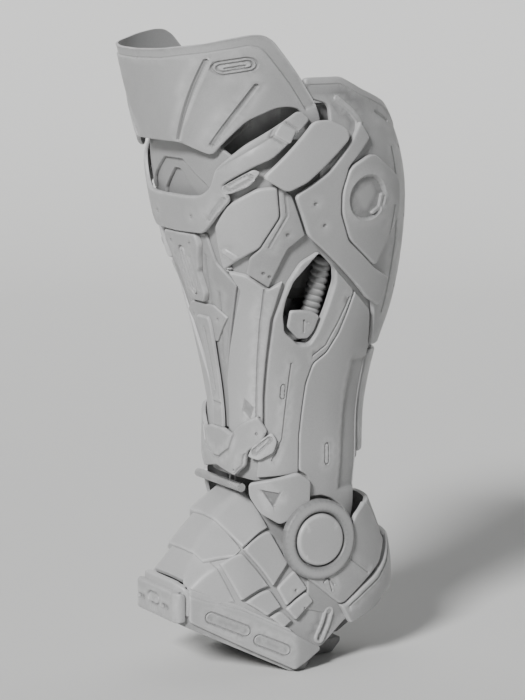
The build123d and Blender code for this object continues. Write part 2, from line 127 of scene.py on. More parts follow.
def s(y, z, surface=None):
    """Outline point given by its place in the side view."""
    table = (surface or shank_skin).table
    centre, front, back, half = smooth(table, z)
    dy = y - centre
    depth, power = (front, FRONT_POWER) if dy < 0 else (back, REAR_POWER)
    x = half * max(1 - min(abs(dy) / depth, 1) ** power, 1e-6) ** (1 / power)
    return (atan2(x, -dy) * ANGLE_SCALE, z)


def f(x, z, surface=None):
    """Outline point given by its place in the front view."""
    _, front, _, half = smooth((surface or shank_skin).table, z)
    y = front * max(1 - min(abs(x) / half, 1) ** FRONT_POWER, 1e-6) ** (1 / FRONT_POWER)
    return (atan2(x, y) * ANGLE_SCALE, z)


def g(y, z):
    return s(y, z, guard_skin)


def h(y, z):
    return s(y, z, heel_skin)


def t(x, y, z):
    """Forefoot outline point given by its place in space."""
    xc, zc, xf, zf, xs, zs = smooth(FOREFOOT, y)
    flank, wall = np.hypot(xf - xc, zc - zf), np.hypot(xs - xf, zf - zs)
    if x <= xc:
        return (x, y)
    if z >= zf and x <= xf + 2:
        return (xc + flank * min((x - xc) / (xf - xc), 1), y)
    return (xc + flank + wall * min(max((zf - z) / (zf - zs), 0), 1), y)


def flipped(points, centre=0.0):
    """The points mirrored about the front's middle, or about the back's with centre=BACK."""
    return [(2 * centre - a, b) for a, b in points]


def both_sides(points):
    """A loop across the front, from its +X half (start and end near the middle)."""
    return points + flipped(points)[::-1]


def flipped_features(features, centre=0.0):
    result = []
    for kind, path, width, rise in features:
        path = (flipped(path[0], centre), path[1]) if kind == "ring" else flipped(path, centre)
        result.append((kind, path, width, rise))
    return result


def circle(y, z, radius, place=s, start=0.0, end=360.0, count=40):
    steps = np.radians(np.linspace(start, end, count, endpoint=end - start < 359))
    return [place(y + radius * cos(k), z + radius * sin(k)) for k in steps]


# ---- plates ----------------------------------------------------------------------------------
def densify(loop, step, closed=True):
    points = []
    ends = range(len(loop)) if closed else range(len(loop) - 1)
    for k in ends:
        a, b = np.array(loop[k], float), np.array(loop[(k + 1) % len(loop)], float)
        count = max(1, int(np.ceil(np.hypot(*(b - a)) / step)))
        points += [a + (b - a) * i / count for i in range(count)]
    if not closed:
        points.append(np.array(loop[-1], float))
    return np.array(points)


def soften(loop, radius):
    """Rounds a loop's corners with short arcs."""
    result = []
    for k in range(len(loop)):
        corner = np.array(loop[k], float)
        before, after = np.array(loop[k - 1], float) - corner, np.array(loop[(k + 1) % len(loop)],
                                                                        float) - corner
        la, lb = np.hypot(*before), np.hypot(*after)
        r = min(radius, la * 0.4, lb * 0.4)
        p, q = corner + before / la * r, corner + after / lb * r
        for w in (0.0, 0.3, 0.7, 1.0):
            result.append(tuple((1 - w) ** 2 * p + 2 * w * (1 - w) * corner + w * w * q))
    return result


def distance(points, path, closed):
    """Distance of each point from a path."""
    path = np.array(path, float)
    if len(path) == 1:
        return np.hypot(*(points - path[0]).T)
    a = path if closed else path[:-1]
    b = np.roll(path, -1, axis=0) if closed else path[1:]
    best = np.full(len(points), 1e9)
    for p, q in zip(a, b):
        along = q - p
        w = np.clip(((points - p) @ along) / max(along @ along, 1e-9), 0, 1)
        best = np.minimum(best, np.hypot(*(points - p - w[:, None] * along).T))
    return best


def inside(points, loop):
    loop = np.array(loop, float)
    odd = np.zeros(len(points), bool)
    for p, q in zip(loop, np.roll(loop, -1, axis=0)):
        crosses = (p[1] > points[:, 1]) != (q[1] > points[:, 1])
        with np.errstate(divide="ignore", invalid="ignore"):
            at = (q[0] - p[0]) * (points[:, 1] - p[1]) / (q[1] - p[1]) + p[0]
        odd ^= crosses & (points[:, 0] < at)
    return odd


def ramp(value, low, high):
    w = np.clip((value - low) / (high - low), 0, 1)
    return w * w * (3 - 2 * w)


SOFT = 0.9      # how far a groove's or step's wall leans


def relief(points, features):
    """Height added by grooves (depth below 0) and raised bands (above 0)."""
    height = np.zeros(len(points))
    for kind, path, width, rise in features:
        if kind == "line":
            height += rise * (1 - ramp(distance(points, path, False), width / 2 - SOFT / 2, width / 2
                                       + SOFT / 2))
        elif kind == "ring":
            away = np.abs(distance(points, path[0], False) - path[1])
            height += rise * (1 - ramp(away, width / 2 - SOFT / 2, width / 2 + SOFT / 2))
        else:
            signed = distance(points, path, True) * np.where(inside(points, path), 1, -1)
            height += rise * ramp(signed, -width / 2, width / 2)
    return height


def feature_points(features):
    """Extra mesh points that hold the features' walls."""
    result = []
    for kind, path, width, _ in features:
        if kind == "field":
            base, closed, offsets = path, True, (-width / 2, 0, width / 2)
        elif kind == "ring":
            base, closed = path[0], False
            offsets = [path[1] + k for k in (-width / 2 - SOFT / 2, -width / 2 + SOFT / 2,
                                             width / 2 - SOFT / 2, width / 2 + SOFT / 2)]
        else:
            base, closed = path, False
            offsets = (0, width / 2 - SOFT / 2, width / 2 + SOFT / 2)
        if len(base) == 1:
            for r in offsets:
                for k in np.linspace(0, 2 * pi, 14, endpoint=False):
                    result.append((base[0][0] + r * cos(k), base[0][1] + r * sin(k)))
            continue
        line = densify(base, 2.2, closed)
        after = np.roll(line, -1, axis=0) if closed else np.vstack([line[1:], 2 * line[-1] - line[-2]])
        along = after - line
        along /= np.maximum(np.hypot(*along.T), 1e-9)[:, None]
        normal = np.stack([-along[:, 1], along[:, 0]], 1)
        for r in offsets:
            result += list(map(tuple, line + normal * r))
            result += list(map(tuple, line - normal * r))
        if not closed:
            for end in (base[0], base[-1]):
                for r in offsets:
                    if r > 0.05:
                        for k in np.linspace(0, 2 * pi, 12, endpoint=False):
                            result.append((end[0] + r * cos(k), end[1] + r * sin(k)))
    return np.array(result) if result else np.zeros((0, 2))


def mesh_object(name, vertices, faces, material, body):
    mesh = bpy.data.meshes.new(name)
    mesh.from_pydata([Vector(v) * MM for v in vertices], [], faces)
    mesh.validate()
    piece = bpy.data.objects.new(name, mesh)
    bpy.context.collection.objects.link(piece)
    for polygon in mesh.polygons:
        polygon.use_smooth = True
    mesh.set_sharp_from_angle(angle=radians(38))
    mesh.materials.append(material)
    if body:
        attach(piece, body)
    return piece


def loop_inward(loop):
    """Unit normals of a closed loop, pointing to its inside."""
    area = np.sum(loop[:, 0] * np.roll(loop[:, 1], -1) - np.roll(loop[:, 0], -1) * loop[:, 1])
    along = np.roll(loop, -1, axis=0) - np.roll(loop, 1, axis=0)
    along /= np.maximum(np.hypot(*along.T), 1e-9)[:, None]
    return np.stack([-along[:, 1], along[:, 0]], 1) * (1 if area > 0 else -1)


def plate(name, body, material, surface, loop, outer, inner, edge=1.3, gap=0.45, corner=2.0, cell=5.0,
          features=(), holes=(), mirror=False):
    """A panel of a master surface: rounded edges, grooves and steps as real relief.

    outer and inner are heights above the surface; outer may be a function of (u, v). mirror
    adds the twin on the inner side, on the same body or on the one that it names.
    """
    loop = soften(loop, corner)
    rim = densify(loop, 2.6)
    inward = loop_inward(rim)
    rim = rim + inward * gap
    rims = [rim]
    cut_rims = [densify(soften(hole, 3.0), 2.6) for hole in holes]
    steps = (0.3 * edge, 0.65 * edge, edge, edge + 1.3)
    extra = [rim + inward * d for d in steps]
    for cut in cut_rims:
        extra += [cut - loop_inward(cut) * d for d in steps]
        rims.append(cut)
    low, high = rim.min(axis=0), rim.max(axis=0)
    us, vs = np.arange(low[0], high[0], cell), np.arange(low[1], high[1], cell)
    grid = np.array([(u + (cell / 2 if j % 2 else 0), v) for j, v in enumerate(vs) for u in us])
    near = feature_points(features)
    extra = np.vstack(extra)

    def clearance(points):
        d = distance(points, rim, True) * np.where(inside(points, rim), 1, -1)
        for cut in cut_rims:
            d = np.minimum(d, distance(points, cut, True) * np.where(inside(points, cut), -1, 1))
        return d

    extra = extra[clearance(extra) > 0.22 * edge]
    near = near[clearance(near) > 0.5] if len(near) else near
    grid = grid[clearance(grid) > edge + 1.5]
    if len(near):
        blocked = [np.min(np.hypot(*(near - p).T)) < 1.6 for p in grid]
        grid = grid[~np.array(blocked, bool)] if len(grid) else grid
    points = [p for r in rims for p in r]
    edges, start = [], 0
    for r in rims:
        edges += [(start + k, start + (k + 1) % len(r)) for k in range(len(r))]
        start += len(r)
    points += list(extra) + list(near) + list(grid)
    flat, _, triangles, *_ = delaunay_2d_cdt([Vector(p) for p in points], edges, [], 0, 0.02)
    flat = np.array([tuple(p) for p in flat])
    triangles = [tuple(tri) for tri in triangles]
    centres = np.array([flat[list(tri)].mean(axis=0) for tri in triangles])
    keep = clearance(centres) > 0
    triangles = [tri for tri, good in zip(triangles, keep) if good]
    if sum(np.linalg.det(np.c_[flat[list(tri)], np.ones(3)]) for tri in triangles[:50]) < 0:
        triangles = [tri[::-1] for tri in triangles]

    gone = edge - np.clip(clearance(flat), 0, edge)
    level = np.array([outer(u, v) for u, v in flat]) if callable(outer) else outer
    top = level - edge + np.sqrt(np.maximum(edge**2 - gone**2, 0))
    if features:
        top = np.maximum(top + relief(flat, features) * ramp(clearance(flat), 0, edge), inner + 0.6)
    base = np.array([surface(u, v) for u, v in flat])
    du = np.array([surface(u + 0.4, v) for u, v in flat]) - np.array([surface(u - 0.4, v) for u, v in flat])
    dv = np.array([surface(u, v + 0.4) for u, v in flat]) - np.array([surface(u, v - 0.4) for u, v in flat])
    normal = np.cross(du, dv)
    normal /= np.maximum(np.linalg.norm(normal, axis=1), 1e-9)[:, None]
    if surface is forefoot_surface:
        outwards = np.where(normal[:, 2] + abs(normal[:, 0]) * 0.2 < 0, -1, 1)
        normal *= np.sign(outwards.sum())
    else:
        radial = base - np.array((0, -5, 0)) * (1, 1, 0)
        normal *= np.sign(np.sum(normal[:, :2] * radial[:, :2]))
    a, b, c = triangles[0]
    facing = np.cross(base[b] - base[a], base[c] - base[a]) @ normal[a]
    if facing < 0:
        triangles = [tri[::-1] for tri in triangles]
    skin = np.vstack([base + normal * top[:, None], base + normal * inner])
    count = len(flat)
    faces = list(triangles) + [(t2 + count, t1 + count, t0 + count) for t0, t1, t2 in triangles]
    used = {}
    for tri in triangles:
        for i in range(3):
            used[(tri[i], tri[(i + 1) % 3])] = True
    for p, q in used:
        if (q, p) not in used:
            faces.append((q, p, p + count, q + count))
    keep = sorted({v for face in faces for v in face})
    index = {v: k for k, v in enumerate(keep)}
    vertices = skin[keep]
    faces = [tuple(index[v] for v in face) for face in faces]
    piece = mesh_object(name, vertices, faces, material, body)
    if not mirror:
        return [piece]
    twin_body = mirror if isinstance(mirror, str) else body
    twin = mesh_object(name.replace("left", "right") if "left" in name else name + "_inner",
                       vertices * (-1, 1, 1), [face[::-1] for face in faces], material, twin_body)
    return [piece, twin]


# ---- materials -------------------------------------------------------------------------------
def clay(name, shade, rough, grain=0.5, metal=0.0, spec=0.4, scale=900.0):
    """A satin moulded finish: uneven tone, a painted highlight on convex edges, painted shade in hollows,
    faint scuffs and a fine grain.
    """
    material = bpy.data.materials.new(name)
    material.use_nodes = True
    nodes, links = material.node_tree.nodes, material.node_tree.links
    shader = nodes["Principled BSDF"]
    shader.inputs["Metallic"].default_value = metal
    shader.inputs["Specular IOR Level"].default_value = spec
    place = nodes.new("ShaderNodeTexCoord")

    def noise(size, detail):
        node = nodes.new("ShaderNodeTexNoise")
        node.inputs["Scale"].default_value = size
        node.inputs["Detail"].default_value = detail
        links.new(place.outputs["Object"], node.inputs["Vector"])
        return node.outputs["Fac"]

    def spread(value, low, high, to_low, to_high):
        node = nodes.new("ShaderNodeMapRange")
        for key, number in (("From Min", low), ("From Max", high), ("To Min", to_low), ("To Max", to_high)):
            node.inputs[key].default_value = number
        links.new(value, node.inputs["Value"])
        return node.outputs["Result"]

    def maths(kind, a, b):
        node = nodes.new("ShaderNodeMath")
        node.operation = kind
        for k, value in enumerate((a, b)):
            if isinstance(value, (int, float)):
                node.inputs[k].default_value = value
            else:
                links.new(value, node.inputs[k])
        return node.outputs[0]

    cloud = spread(noise(14, 5), 0.3, 0.7, shade * 0.95, shade * 1.05)
    speck = spread(noise(scale, 2), 0.35, 0.65, -0.012, 0.012)
    bend = nodes.new("ShaderNodeNewGeometry").outputs["Pointiness"]
    # painted highlight: convex edges are made lighter in patches, where light would catch their bevels
    painted_edge_highlight = maths("MULTIPLY", spread(bend, 0.504, 0.55, 0.0, 0.15), spread(noise(60, 4), 0.35, 0.65, 0.4, 1.0))
    # painted shade: concave creases and hollows are made darker, where shade would fall
    painted_crevice_shade = spread(bend, 0.45, 0.496, -0.15, 0.0)
    tone = maths("ADD", maths("ADD", cloud, speck), maths("ADD", painted_edge_highlight, painted_crevice_shade))
    colour = nodes.new("ShaderNodeCombineColor")
    for channel in ("Red", "Green", "Blue"):
        links.new(tone, colour.inputs[channel])
    links.new(colour.outputs[0], shader.inputs["Base Color"])
    scuff = nodes.new("ShaderNodeTexNoise")
    scuff.inputs["Scale"].default_value = 30
    scuff.inputs["Detail"].default_value = 8
    scuff.inputs["Distortion"].default_value = 1.5
    links.new(place.outputs["Object"], scuff.inputs["Vector"])
    links.new(spread(scuff.outputs["Fac"], 0.35, 0.7, rough - 0.07, rough + 0.10), shader.inputs["Roughness"])
    bump = nodes.new("ShaderNodeBump")
    bump.inputs["Strength"].default_value = grain
    bump.inputs["Distance"].default_value = 0.00012
    links.new(noise(scale * 1.6, 3), bump.inputs["Height"])
    links.new(bump.outputs["Normal"], shader.inputs["Normal"])
    return material


shell = clay("armour_shell", 0.36, 0.42)
light = clay("armour_light", 0.40, 0.40)
under = clay("under_shell", 0.22, 0.55, 0.8)
metal = clay("metal", 0.40, 0.34, 0.3, metal=0.85)
laminate = clay("socket_laminate", 0.20, 0.30, 0.2)
liner = clay("liner_silicone", 0.28, 0.60, 0.9)
rubber = clay("rubber", 0.19, 0.72, 1.0, scale=500.0)
carbon = clay("carbon", 0.05, 0.28, 0.4, scale=300.0)
control = clay("controls", 0.42, 0.38)
under_light = clay("under_shell_light", 0.31, 0.50, 0.7)
rubber_light = clay("rubber_light", 0.34, 0.60, 0.8, scale=500.0)
by_slot = {"armour_shell": shell, "armour_light": light, "under_shell": under, "metal": metal,
           "carbon": carbon, "socket_laminate": laminate, "liner_silicone": liner, "rubber": rubber,
           "controls": control}


def finish(pieces, slot, *nodes):
    if nodes:
        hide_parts(*nodes)


def screw(a, b, size=2.0):
    """A countersunk screw, seen as a small dimple."""
    return [("ring", ([(a, b)], 0.1), 1.2 + 0.7 * size, -1.2)]


# ---- knee guard ------------------------------------------------------------------------------
def knee_guard():
    rim = [f(0.5, 522, guard_skin), f(40, 523, guard_skin), g(-114, 528), g(-98, 532), g(-80, 535),
           g(-69, 535), g(-60, 530), g(-36, 501), g(-20, 478)]
    lower = [g(-15, 464), g(-18, 451), g(-30, 456), g(-36, 474), g(-46, 476), g(-57, 475), g(-80, 465),
             g(-97, 446), g(-103, 436), f(40, 446, guard_skin), f(0.5, 446, guard_skin)]
    seam = [g(-113, 514), f(38, 449, guard_skin)]
    crest = [g(-110, 514), f(42, 449, guard_skin)]
    inner_rim = [f(0, 514, guard_skin), f(40, 515, guard_skin), g(-113, 520), g(-97, 523), g(-80, 526),
                 g(-71, 524), g(-66, 520), g(-44, 494), g(-30, 474)]
    outer_band = inner_rim + rim[::-1]
    slash = [g(-74, 494), g(-104, 446)]
    eyelet = [g(-101, 508), g(-82, 511)]
    half = [("line", seam, 2.6, -2.0), ("line", crest, 3.0, 0.8), ("line", slash, 3.0, -1.9),
            ("ring", (eyelet, 5.4), 1.4, -1.5),
            ("ring", (eyelet, 2.8), 1.4, -1.5), ("line", [g(-99, 507.6), g(-84, 509.9)], 1.6, -1.4),
            ("field", outer_band, 2.4, -1.2), ("line", inner_rim, 1.3, -0.8)]
    pieces = plate("knee_guard_shell", "knee_guard", shell, guard_skin, both_sides(rim + lower), -1.6, -4.6,
                   edge=1.5, corner=5, features=half + flipped_features(half))
    finish(pieces, "armour_shell", "knee_guard")


# ---- upper shank -----------------------------------------------------------------------------
def upper_shank():
    rim = [s(-30, 500), s(6, 500.5), s(30, 489.5), s(60, 478.5), s(80, 461)]
    edge = [s(56, 270), s(46, 311), s(-12, 372), s(-20, 430), s(-8, 438), s(-8, 478), s(-30, 484)] + rim
    loop = edge + [(BACK, 445)] + flipped(edge, BACK)[::-1] + [(BACK, 270)]
    hook = [s(1, 482), s(14, 472), s(21, 463), s(18, 452), s(-8, 428)]
    lines = [("line", [s(60, 440), s(70, 360), s(62, 300)], 2.0, -1.1), ("line", hook, 5.5, 1.0),
             ("line", [s(44, 470), s(60, 462)], 3.0, -1.0)]
    features = []
    for line in lines:
        features += [line] + flipped_features([line], BACK)
    features.append(("line", [(BACK, 440), (BACK, 275)], 2.4, -1.2))
    band = [s(-30, 500), s(6, 500), s(30, 489), s(60, 478), s(80, 461)]
    features.append(("line", band + [(BACK, 445)] + flipped(band, BACK)[::-1], 12, 0.8))
    for a, b in (s(75, 440), s(86, 380), s(80, 320)):
        features += screw(a, b) + screw(2 * BACK - a, b)
    pieces = plate("calf_shell_skin", "shank", shell, shank_skin, loop, -0.9, -4.2, edge=1.6, corner=4,
                   cell=6, features=features)
    finish(pieces, "armour_shell", "calf_shell")

    upper = [f(0.5, 403), f(28, 403), f(46, 404.5), f(57, 411), f(63, 425), f(66, 429), s(-81, 447),
             s(-60, 460), s(-37, 474), s(-27, 466), s(-61, 435), s(-74, 429), s(-84, 422), s(-93, 413),
             f(73, 402), f(51, 379), f(42, 372), f(0.5, 371)]
    button_seat = [s(-56, 464.5), s(-63, 453), s(-47, 443), s(-39, 457), s(-53, 466)]
    half = screw(*f(31, 386)) + [("line", button_seat, 1.4, -1.2)]
    half += [("line", [f(67, 427), s(-86, 436), s(-60, 453)], 1.3, -0.7),
             ("line", [f(52, 385), f(68, 403)], 3.0, -0.9)]
    pieces = plate("guard_yoke_band", "shank", shell, shank_skin, both_sides(upper), 4.0, 0.4, edge=1.8,
                   corner=4, features=half + flipped_features(half))
    finish(pieces, "armour_shell", "guard_yoke")
    pieces = plate("release_button_cap_left", "release_button_left", control, shank_skin,
                   [s(-54, 463.5), s(-41, 457), s(-47.5, 445.5), s(-61, 453.5)], 5.4, 2.6, edge=1.2,
                   corner=2.5, cell=3, mirror="release_button_right")
    finish(pieces, "controls", "release_button_left", "release_button_right")

    shoulder = [s(-70, 421), s(-50, 408), s(-33, 416), s(6, 449), s(3, 458), s(-13, 465), s(-27, 464)]
    pieces = plate("shoulder_plate_outer", "shank", light, shank_skin, shoulder, 7.5, 4.3, edge=2.0,
                   corner=4, mirror=True)
    finish(pieces, "armour_light", "shoulder_plates")
    brace = [s(-43, 405), s(-14, 423), s(5, 444), s(19, 464), s(28, 449), s(6, 427), s(0, 407), s(1, 389),
             s(11, 366), s(41, 341), s(60, 331), s(50, 307), s(35, 315), s(-28, 371)]
    marks = screw(*s(-24, 398)) + screw(*s(-14, 380))
    pieces = plate("side_brace_outer", "shank", shell, shank_skin, brace, 3.8, 0.2, edge=1.6, corner=3,
                   mirror=True, features=marks)
    finish(pieces, "armour_shell", "side_braces")
    cover = [s(6, 427), s(0, 407), s(1, 389), s(11, 366), s(41, 341), s(66, 386), s(64, 414), s(30, 438)]
    bowl = circle(26, 401, 18, count=28)
    fin = [s(33, 388), s(40, 392), s(42, 402)]
    marks = [("field", bowl, 2.4, -2.6), ("line", fin, 3.0, 1.6),
             ("line", [s(52, 350), s(58, 392)], 1.6, -1.0)]
    pieces = plate("joint_cover_outer", "shank", shell, shank_skin, cover, 3.8, 0.2, edge=1.6, corner=6,
                   mirror=True, features=marks)
    finish(pieces, "armour_shell", "joint_covers", "joint_discs")
    cheek = [f(52, 378), s(-90, 397), s(-72, 411), s(-56, 413), s(-52, 387), s(-65, 361), s(-84, 341),
             f(50, 352)]
    bar = [s(-86, 358), s(-80, 353)]
    pieces = plate("cheek_plate_outer", "shank", light, shank_skin, cheek, 0.4, -4.4, edge=2.0, corner=3,
                   mirror=True, features=[("line", bar, 4.6, 0.9)])
    finish(pieces, "armour_light", "cheek_plates")
    strap = [s(-56, 413), s(-43, 405), s(-28, 371), s(-42, 360), s(-54, 327), s(-72, 339), s(-72, 353),
             s(-65, 361), s(-52, 387)]
    marks = screw(*s(-44, 372)) + screw(*s(-60, 340), 1.5) + screw(*s(-55, 337), 1.5)
    marks += [("line", [s(-50, 411), s(-46, 388), s(-58, 362)], 1.6, -1.0)]
    pieces = plate("strap_plate_outer", "shank", under_light, shank_skin, strap, -0.8, -4.6, edge=1.3,
                   corner=2, mirror=True, features=marks)
    finish(pieces, "under_shell", "strap_plates")
    steps = [[f(0.5, 452), f(40, 452), f(64, 446), s(-88, 436), s(-94, 415), f(58, 401), f(47, 413),
              f(17, 431), f(0.5, 431)],
             [f(0.5, 438), f(20, 438), f(52, 421), f(60, 398), f(30, 399), f(28, 404), f(5, 422),
              f(0.5, 422)],
             [f(0.5, 429), f(20, 424), f(50, 408), f(52, 391), f(0.5, 391)]]
    for index, step in enumerate(steps):
        rise = -2.4 - 3.2 * index
        ring = plate(f"knee_step_{index}", "shank", under_light, shank_skin, both_sides(step), rise,
                     rise - 2.8, edge=1.3, corner=1.5)
        finish(ring, "under_shell", *(["knee_steps"] if index == 0 else []))
    latch = [s(-94.5, 411), s(-85, 420.5), s(-75, 427.5), s(-69.5, 425), s(-76, 413.5), s(-88, 406),
             s(-96, 405.5)]
    marks = [("line", [s(-89, 411.5), s(-78, 420.5)], 6.5, -1.6),
             ("line", [s(-88, 412.5), s(-79, 420)], 2.0, 1.0)]
    pieces = plate("upper_latch_lever_left", "upper_latch_left", control, shank_skin, latch, 3.2, 0.6,
                   edge=1.0, corner=4, cell=3, features=marks, mirror="upper_latch_right")
    finish(pieces, "controls", "upper_latch_left", "upper_latch_right")


# ---- lower shank -----------------------------------------------------------------------------
def lower_shank():
    cavity = [s(-13, 356), s(-22, 346), s(-34, 332), s(-39, 316), s(-40, 304), s(-37, 289), s(-24, 278),
              s(-13, 277), s(-7, 287), s(0, 309), s(5, 330), s(3, 342)]
    inner = [f(0.5, 396), f(42, 396), s(-97, 398), s(-92, 428), s(-62, 447), s(-40, 452), s(-12, 446),
             s(-5, 420), s(0, 376), s(54, 312), s(62, 264), (BACK - 0.3, 264), (BACK - 0.3, 174), s(0, 165),
             s(-53, 160), f(30, 161), f(0.5, 161)]
    pieces = plate("shin_shell_skin", "shank", under_light, shank_skin, both_sides(inner), -5.4, -8.6,
                   edge=1.0, corner=2, cell=7, holes=[cavity, flipped(cavity)])
    finish(pieces, "under_shell", "shin_shell")
    block = [s(-34, 307), s(-35, 292), s(-24, 281.5), s(-14, 281.5), s(-9, 288), s(-5, 301), s(-12, 305),
             s(-22, 307)]
    marks = [("line", [s(-20, 298), s(-19, 288)], 1.6, -0.9), ("line", [s(-20, 298), s(-16, 296)], 1.4, -0.8)]
    housing = plate("damper_housing_face", "shank", shell, shank_skin, block, -3.4, -6.0, edge=1.6,
                    corner=2.5, cell=4, mirror=True, features=marks)
    finish(housing, "armour_shell")
    side_panel = [s(-40, 331), s(-47.5, 300), s(-47, 234), s(-46, 205), s(-50, 186), s(-51, 164),
                  s(-17, 167), s(-17, 199), s(-13, 244), s(-8, 261), s(4, 270), s(13, 285), s(25, 322),
                  s(-14, 357), s(-30, 348)]
    marks = [("line", [s(-28, 262), s(-32, 198), s(-40, 180)], 1.8, -1.2),
             ("ring", ([s(-33, 242), s(-33, 234)], 2.2), 1.2, -1.2),
             ("line", [s(20, 316), s(10, 292), s(2, 276), s(-9, 268)], 1.8, -1.0)]
    pieces = plate("side_panel_outer", "shank", shell, shank_skin, side_panel, -1.1, -5.0, edge=1.6,
                   corner=3, holes=[cavity], features=marks, mirror=True)
    finish(pieces, "armour_shell", "side_panels")
    rear = [s(25, 322), s(13, 285), s(4, 270), s(-8, 261), s(-13, 244), s(-17, 199), s(-17, 170),
            s(-8, 164), s(-8, 146), s(6, 146.5), s(16, 143), s(26, 136), s(33, 127), s(38, 117), s(44, 134),
            s(46, 190), s(48, 240), s(52, 268), s(46, 303)]
    crease = [s(33, 262), s(28, 225), s(26, 190), s(24, 150), s(60, 150), s(60, 262)]
    marks = [("field", crease, 3.0, -1.6), ("ring", ([s(10, 189), s(10, 176)], 2.6), 1.3, -1.3)]
    pieces = plate("rear_panel_outer", "shank", shell, shank_skin, rear, -1.1, -5.0, edge=1.6, corner=3,
                   mirror=True, features=marks)
    finish(pieces, "armour_shell", "rear_panels")
    half = [s(54, 266), s(50, 240), s(50, 178)]
    loop = half + [(BACK, 178)] + flipped(half, BACK)[::-1] + [(BACK, 266)]
    crease = ("line", [s(66, 250), s(60, 192)], 1.6, -1.0)
    marks = [("line", [(BACK, 255), (BACK, 190)], 5, -1.6), crease]
    marks += flipped_features([crease], BACK)
    pieces = plate("achilles_guard_outer", "shank", light, shank_skin, loop, -1.4, -4.6, edge=1.8,
                   corner=4, features=marks)
    finish(pieces, "armour_shell", "achilles_guard")

    shin = [f(50, 348), f(58, 342), s(-84, 341), s(-72, 338), s(-55, 326), s(-43, 333), s(-49, 300),
            s(-48, 234), s(-47, 206), f(40, 187), f(13, 203), f(17, 244), f(57, 324)]
    diamond = [f(37, 231), f(44, 224), f(40, 214), f(33, 220)]
    marks = [("line", [f(72, 326), f(63, 298), f(48, 237), f(45, 216)], 1.8, -1.2),
             ("field", diamond, 1.4, -1.4)]
    pieces = plate("shin_panel_outer", "shank", light, shank_skin, shin, -1.1, -5.0, edge=1.4, corner=2,
                   mirror=True, features=marks)
    finish(pieces, "armour_light", "shin_panels")
    core = [f(0.5, 371), f(38, 371), f(42, 346), f(56, 328), f(16, 245), f(12, 203), f(0.5, 203)]
    ribs = [("line", [f(x * 30, 352), f(x * 13, 300)], 2.0, -1.0) for x in (1, -1)]
    ribs += [("line", [f(x * 33, 320), f(x * 15, 262)], 1.6, -0.9) for x in (1, -1)]
    pieces = plate("shin_core_skin", "shank", under_light, shank_skin, both_sides(core), -2.9, -5.0,
                   edge=1.0, corner=2, features=ribs)
    finish(pieces, "under_shell", "shin_core")
    gem = [f(0.5, 309), f(20, 309), f(37, 300), f(14, 277), f(0.5, 277)]
    marks = screw(*f(22, 297), 1.6) + screw(*f(-22, 297), 1.6)
    pieces = plate("diamond_plate_outer", "shank", shell, shank_skin, both_sides(gem), -0.9, -2.6,
                   edge=0.9, corner=2, features=marks)
    finish(pieces, "armour_shell", "diamond_plate")
    keel = [f(0.5, 299), f(10, 299), f(12, 292), f(8, 226), f(9, 203), f(0.5, 203)]
    marks = [("line", [f(-8, 224), f(8, 224)], 1.4, -1.1), ("line", [f(0, 288), f(0, 236)], 3.2, -0.8)]
    pieces = plate("shin_keel_strip", "shank", shell, shank_skin, both_sides(keel), 2.2, -0.6, edge=1.4,
                   corner=2, features=marks)
    finish(pieces, "armour_shell", "shin_keel")
    nose = [f(0.5, 371), f(28, 371), f(31, 362), f(21, 341), f(18, 338), f(17, 318), f(11, 311), f(0.5, 311)]
    marks = [("ring", ([f(0, 354), f(0, 322)], 4.6), 1.4, -1.6),
             ("line", [f(0, 354), f(0, 323)], 2.0, -1.4), ("line", [f(13, 350), f(10.5, 322)], 1.4, -0.9),
             ("line", [f(-13, 350), f(-10.5, 322)], 1.4, -0.9)]
    marks += screw(*f(17, 362), 1.6) + screw(*f(-17, 362), 1.6)
    pieces = plate("shin_clevis_nose", "shank", shell, shank_skin, both_sides(nose), 2.3, -2.6, edge=1.8,
                   corner=2.5, features=marks)
    finish(pieces, "armour_shell", "shin_clevis")

    cuff = [f(0.5, 204), f(12, 204), f(17, 202), f(24, 201), f(31, 208), f(38, 213), f(48, 219),
            s(-49, 217), s(-43, 206), f(49, 196), f(40, 187), f(38.5, 175), f(27, 165), f(9, 168.5),
            f(0.5, 170)]
    lip = [s(-45, 203), f(48, 192), f(37, 184), f(35.5, 175), f(27, 168)]
    lip = [("line", lip, 1.3, -1.2), ("line", flipped(lip), 1.3, -1.2)]
    marks = screw(*f(46, 203), 1.5) + screw(*f(-46, 203), 1.5) + screw(*f(27, 170), 1.5)
    marks += screw(*f(-27, 170), 1.5) + lip
    marks += [("line", [f(-27, 201), f(-21, 187), f(-5, 178), f(5, 178), f(21, 187), f(27, 201)], 1.7, -1.5)]
    pieces = plate("ankle_cuff_band", "shank", shell, shank_skin, both_sides(cuff), 3.8, 0.3, edge=1.7,
                   corner=2.5, features=marks)
    finish(pieces, "armour_shell", "ankle_cuff")
    lever = [s(-55, 183), s(-49, 180), s(-39, 187), s(-36, 197), s(-40, 205), s(-52, 194)]
    marks = [("line", [s(-51, 187.5), s(-42, 198)], 6.0, -1.6),
             ("line", [s(-50, 188.5), s(-43.5, 197)], 1.8, 1.0)]
    pieces = plate("lower_latch_lever_left", "lower_latch_left", control, shank_skin, lever, 3.6, 0.6,
                   edge=1.0, corner=3, cell=3, features=marks, mirror="lower_latch_right")
    finish(pieces, "controls", "lower_latch_left", "lower_latch_right")
    triangle = [s(-54, 161), s(-19, 170), s(-7, 162), s(-7, 142), s(-20, 131), s(-33, 125), s(-47, 135),
                s(-53, 149)]
    pocket = [s(-46, 155.5), s(-33, 152.5), s(-38, 141)]
    pieces = plate("ankle_triangle_outer", "shank", shell, shank_skin, triangle, 3.8, 0.3, edge=1.8,
                   corner=4, mirror=True, features=[("field", pocket, 1.2, -2.0)])
    finish(pieces, "armour_shell", "ankle_triangles")


